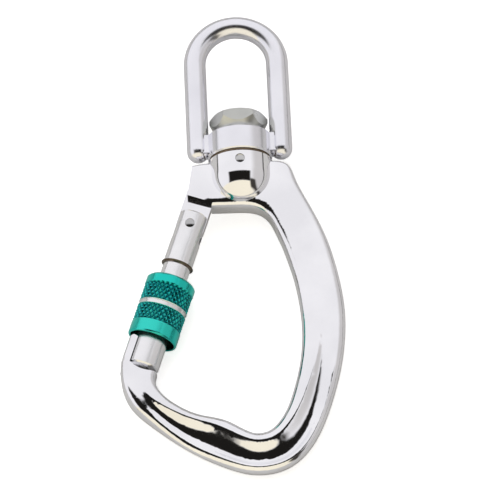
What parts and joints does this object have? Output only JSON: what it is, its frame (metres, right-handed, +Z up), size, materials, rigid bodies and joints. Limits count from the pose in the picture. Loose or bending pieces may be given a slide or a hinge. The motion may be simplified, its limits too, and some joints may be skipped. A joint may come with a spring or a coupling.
{
  "type": "swivel carabiner",
  "caption": "Offset hook carabiner with a knurled screw-lock gate sleeve and a swivelling bail eye held by a hex-headed bolt in a round boss.",
  "frame": {"origin": "under the middle of the object's bounding box, level with the lowest point of the boss and collar as it lies on its back", "axes": "+X from the gate side to the spine, +Y along the swivel axis from the hook to the bail eye, +Z up out of the front face"},
  "size_m": [0.0721, 0.159, 0.0208],
  "materials": {
    "polished_aluminium": "mirror polished",
    "plated_steel": "bright plated",
    "satin_steel": "satin",
    "bronze": "turned",
    "teal_anodised": "bright anodised, knurled",
    "spring_steel": "drawn wire"
  },
  "bodies": {
    "hook": {"frame": "polished_aluminium", "swivel_bolt": "satin_steel", "boss_pin": "satin_steel", "lower_thrust_washer": "bronze", "upper_thrust_washer": "bronze", "gate_rivet": "satin_steel"},
    "swivel_eye": {"bail": "plated_steel", "swivel_bush": "bronze"},
    "gate": {"gate_barrel": "polished_aluminium", "gate_end_ferrule": "polished_aluminium", "latch_pin": "satin_steel", "stop_ring": "bronze", "gate_spring": "spring_steel"},
    "closing_plunger": {"gate_plunger": "satin_steel"},
    "sleeve_ring": {"sleeve_friction_ring": "spring_steel"},
    "locking_sleeve": {"sleeve": "teal_anodised"}
  },
  "joints": [
    {"name": "bail_swivel", "type": "hinge", "parent": "hook", "child": "swivel_eye", "pos_m": [0.00492, 0.03266, 0.0104], "axis": [0, 1, 0], "continuous": true},
    {"name": "gate_swing", "type": "hinge", "parent": "hook", "child": "gate", "pos_m": [-0.01208, 0.00526, 0.0104], "axis": [0, 0, 1], "range_deg": [0, 26], "stiffness_Nm_per_rad": 0.08, "springref_deg": -28.65, "deforming": ["gate_spring"]},
    {"name": "plunger_slide", "type": "slide", "parent": "gate", "child": "closing_plunger", "axis": [-0.3355, -0.9421, 0], "range_m": [0, 0.0008]},
    {"name": "sleeve_travel", "type": "slide", "parent": "gate", "child": "sleeve_ring", "axis": [-0.3355, -0.9421, 0], "range_m": [-0.004, 0.0044]},
    {"name": "sleeve_turn", "type": "hinge", "parent": "sleeve_ring", "child": "locking_sleeve", "pos_m": [-0.01208, 0.00526, 0.0104], "axis": [-0.3355, -0.9421, 0], "range_deg": [-960.5, 1056.5]}
  ],
  "couplings": [
    {"joint": "plunger_slide", "follows": "gate_swing", "m_per_rad": 0.00176},
    {"joint": "sleeve_turn", "follows": "sleeve_travel", "rad_per_m": 4188.8}
  ]
}
